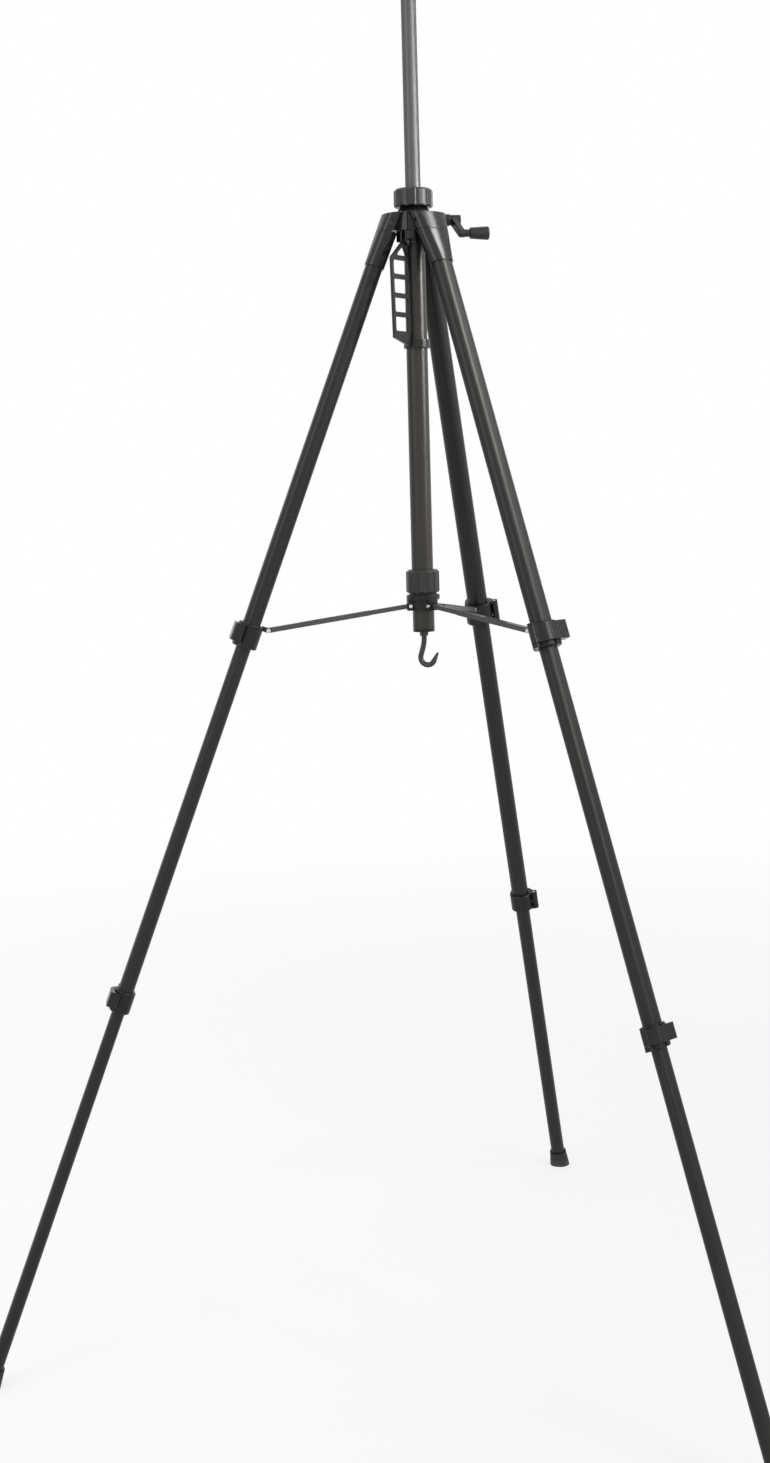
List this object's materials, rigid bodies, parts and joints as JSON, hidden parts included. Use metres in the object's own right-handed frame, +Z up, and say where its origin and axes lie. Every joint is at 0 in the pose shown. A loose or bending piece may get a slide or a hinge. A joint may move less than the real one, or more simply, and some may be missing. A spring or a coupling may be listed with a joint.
{
  "type": "laser level tripod",
  "caption": "Tall folding tripod for a laser level: cranked geared mast, braced flip-lock telescoping legs, carry handle, weight hook and rubber feet.",
  "frame": {"origin": "middle of the instrument seat on top of the mast, at the root of the stud, mast raised", "axes": "+Z up along the mast; +Y toward the rear leg; +X to the right, seen from the front"},
  "size_m": [0.9644, 0.8385, 1.778],
  "materials": {
    "casting": "glossy black",
    "moulding": "satin black",
    "lever_moulding": "satin black",
    "handle_moulding": "black",
    "crank_moulding": "black",
    "leg_tube": "black anodised",
    "column_tube": "black anodised",
    "mast_tube": "dark grey anodised",
    "rack": "dark steel",
    "bright_steel": "zinc plated",
    "bush": "natural nylon",
    "hook_steel": "black painted",
    "brace_metal": "dark grey painted",
    "foot_rubber": "charcoal rubber"
  },
  "bodies": {
    "stand": {"shoulder": "casting", "leg_pivot_bolts": "bright_steel", "column_bush": "bush", "outer_tube": "column_tube", "tube_plug": "moulding", "handle_pin": "bright_steel", "handle_clip": "moulding"},
    "mast": {"mast_tube": "mast_tube", "mast_rack": "rack", "mast_guide": "bush", "mast_head": "moulding", "mount_stud": "bright_steel"},
    "crank": {"drive_pinion": "bright_steel", "crank_arm": "crank_moulding"},
    "knob": {"crank_knob": "crank_moulding"},
    "collar": {"lock_collar": "moulding"},
    "handle": {"carry_handle": "handle_moulding"},
    "hub": {"hub_slider": "moulding", "hub_pins": "bright_steel"},
    "nut": {"hub_nut": "moulding"},
    "hook": {"hook": "hook_steel"},
    "leg_a": {"knuckle_a": "casting", "upper_tube_a": "leg_tube", "upper_clamp_a": "moulding", "upper_pins_a": "bright_steel"},
    "upper_lever_a": {"upper_lever_a": "lever_moulding"},
    "middle_a": {"middle_tube_a": "leg_tube", "lower_clamp_a": "moulding", "lower_pin_a": "bright_steel"},
    "lower_lever_a": {"lower_lever_a": "lever_moulding"},
    "lower_a": {"lower_tube_a": "leg_tube", "foot_a": "foot_rubber"},
    "fork_a": {"brace_fork_a": "brace_metal"},
    "tongue_a": {"brace_tongue_a": "brace_metal"},
    "leg_b": {"knuckle_b": "casting", "upper_tube_b": "leg_tube", "upper_clamp_b": "moulding", "upper_pins_b": "bright_steel"},
    "upper_lever_b": {"upper_lever_b": "lever_moulding"},
    "middle_b": {"middle_tube_b": "leg_tube", "lower_clamp_b": "moulding", "lower_pin_b": "bright_steel"},
    "lower_lever_b": {"lower_lever_b": "lever_moulding"},
    "lower_b": {"lower_tube_b": "leg_tube", "foot_b": "foot_rubber"},
    "fork_b": {"brace_fork_b": "brace_metal"},
    "tongue_b": {"brace_tongue_b": "brace_metal"},
    "leg_c": {"knuckle_c": "casting", "upper_tube_c": "leg_tube", "upper_clamp_c": "moulding", "upper_pins_c": "bright_steel"},
    "upper_lever_c": {"upper_lever_c": "lever_moulding"},
    "middle_c": {"middle_tube_c": "leg_tube", "lower_clamp_c": "moulding", "lower_pin_c": "bright_steel"},
    "lower_lever_c": {"lower_lever_c": "lever_moulding"},
    "lower_c": {"lower_tube_c": "leg_tube", "foot_c": "foot_rubber"},
    "fork_c": {"brace_fork_c": "brace_metal"},
    "tongue_c": {"brace_tongue_c": "brace_metal"}
  },
  "joints": [
    {"name": "mast_slide", "type": "slide", "parent": "stand", "child": "mast", "axis": [0, 0, 1], "range_m": [-0.3, 0]},
    {"name": "crank_turn", "type": "hinge", "parent": "stand", "child": "crank", "pos_m": [-0.0075, 0.01299, -0.374], "axis": [-0.866, -0.5, 0], "range_deg": [-2865, 0]},
    {"name": "knob_spin", "type": "hinge", "parent": "crank", "child": "knob", "pos_m": [0.08111, 0.02951, -0.395], "axis": [0.866, 0.5, 0], "continuous": true},
    {"name": "collar_turn", "type": "hinge", "parent": "stand", "child": "collar", "pos_m": [0, 0, -0.348], "axis": [0, 0, 1], "range_deg": [0, 270]},
    {"name": "handle_swing", "type": "hinge", "parent": "stand", "child": "handle", "pos_m": [-0.00427, -0.02199, -0.4065], "axis": [-0.9816, 0.1908, 0], "range_deg": [0, 80]},
    {"name": "hub_slide", "type": "slide", "parent": "stand", "child": "hub", "axis": [0, 0, 1], "range_m": [0, 0.13299]},
    {"name": "nut_turn", "type": "hinge", "parent": "hub", "child": "nut", "pos_m": [0, 0, -0.84], "axis": [0, 0, 1], "range_deg": [0, 270]},
    {"name": "hook_swivel", "type": "hinge", "parent": "stand", "child": "hook", "pos_m": [0, 0, -0.91], "axis": [0, 0, 1], "continuous": true},
    {"name": "fold_a", "type": "hinge", "parent": "stand", "child": "leg_a", "pos_m": [-0.02823, -0.0163, -0.381], "axis": [0.5, -0.866, 0], "range_deg": [0, 18.7]},
    {"name": "fork_a_turn", "type": "hinge", "parent": "leg_a", "child": "fork_a", "pos_m": [-0.17098, -0.09872, -0.89329], "axis": [0.5, -0.866, 0], "range_deg": [0, 62.01]},
    {"name": "tongue_a_turn", "type": "hinge", "parent": "hub", "child": "tongue_a", "pos_m": [-0.01516, -0.00875, -0.87089], "axis": [0.5, -0.866, 0], "range_deg": [0, 80.71]},
    {"name": "upper_lever_a_flip", "type": "hinge", "parent": "leg_a", "child": "upper_lever_a", "pos_m": [-0.20865, -0.09424, -0.89629], "axis": [-0.299, -0.1726, -0.9385], "range_deg": [0, 100]},
    {"name": "middle_a_slide", "type": "slide", "parent": "leg_a", "child": "middle_a", "axis": [0.299, 0.1726, 0.9385], "range_m": [0, 0.41]},
    {"name": "lower_lever_a_flip", "type": "hinge", "parent": "middle_a", "child": "lower_lever_a", "pos_m": [-0.34367, -0.17589, -1.32732], "axis": [-0.299, -0.1726, -0.9385], "range_deg": [0, 100]},
    {"name": "lower_a_slide", "type": "slide", "parent": "middle_a", "child": "lower_a", "axis": [0.299, 0.1726, 0.9385], "range_m": [0, 0.41]},
    {"name": "fold_b", "type": "hinge", "parent": "stand", "child": "leg_b", "pos_m": [0, 0.0326, -0.381], "axis": [-1, 0, 0], "range_deg": [0, 18.7]},
    {"name": "fork_b_turn", "type": "hinge", "parent": "leg_b", "child": "fork_b", "pos_m": [0, 0.19743, -0.89329], "axis": [-1, 0, 0], "range_deg": [0, 62.01]},
    {"name": "tongue_b_turn", "type": "hinge", "parent": "hub", "child": "tongue_b", "pos_m": [0, 0.0175, -0.87089], "axis": [-1, 0, 0], "range_deg": [0, 80.71]},
    {"name": "upper_lever_b_flip", "type": "hinge", "parent": "leg_b", "child": "upper_lever_b", "pos_m": [0.0227, 0.22781, -0.89629], "axis": [0, 0.3453, -0.9385], "range_deg": [0, 100]},
    {"name": "middle_b_slide", "type": "slide", "parent": "leg_b", "child": "middle_b", "axis": [0, -0.3453, 0.9385], "range_m": [0, 0.41]},
    {"name": "lower_lever_b_flip", "type": "hinge", "parent": "middle_b", "child": "lower_lever_b", "pos_m": [0.01951, 0.38558, -1.32732], "axis": [0, 0.3453, -0.9385], "range_deg": [0, 100]},
    {"name": "lower_b_slide", "type": "slide", "parent": "middle_b", "child": "lower_b", "axis": [0, -0.3453, 0.9385], "range_m": [0, 0.41]},
    {"name": "fold_c", "type": "hinge", "parent": "stand", "child": "leg_c", "pos_m": [0.02823, -0.0163, -0.381], "axis": [0.5, 0.866, 0], "range_deg": [0, 18.7]},
    {"name": "fork_c_turn", "type": "hinge", "parent": "leg_c", "child": "fork_c", "pos_m": [0.17098, -0.09872, -0.89329], "axis": [0.5, 0.866, 0], "range_deg": [0, 62.01]},
    {"name": "tongue_c_turn", "type": "hinge", "parent": "hub", "child": "tongue_c", "pos_m": [0.01516, -0.00875, -0.87089], "axis": [0.5, 0.866, 0], "range_deg": [0, 80.71]},
    {"name": "upper_lever_c_flip", "type": "hinge", "parent": "leg_c", "child": "upper_lever_c", "pos_m": [0.18594, -0.13357, -0.89629], "axis": [0.299, -0.1726, -0.9385], "range_deg": [0, 100]},
    {"name": "middle_c_slide", "type": "slide", "parent": "leg_c", "child": "middle_c", "axis": [-0.299, 0.1726, 0.9385], "range_m": [0, 0.41]},
    {"name": "lower_lever_c_flip", "type": "hinge", "parent": "middle_c", "child": "lower_lever_c", "pos_m": [0.32417, -0.20968, -1.32732], "axis": [0.299, -0.1726, -0.9385], "range_deg": [0, 100]},
    {"name": "lower_c_slide", "type": "slide", "parent": "middle_c", "child": "lower_c", "axis": [-0.299, 0.1726, 0.9385], "range_m": [0, 0.41]}
  ],
  "couplings": [
    {"joint": "crank_turn", "follows": "mast_slide", "rad_per_m": 166.67},
    {"joint": "hub_slide", "follows": "fold_a", "m_per_rad": 0.40745},
    {"joint": "fork_a_turn", "follows": "fold_a", "ratio": 3.3153},
    {"joint": "tongue_a_turn", "follows": "fold_a", "ratio": 4.3153},
    {"joint": "fold_b", "follows": "fold_a", "ratio": 1},
    {"joint": "fork_b_turn", "follows": "fold_a", "ratio": 3.3153},
    {"joint": "tongue_b_turn", "follows": "fold_a", "ratio": 4.3153},
    {"joint": "fold_c", "follows": "fold_a", "ratio": 1},
    {"joint": "fork_c_turn", "follows": "fold_a", "ratio": 3.3153},
    {"joint": "tongue_c_turn", "follows": "fold_a", "ratio": 4.3153}
  ]
}
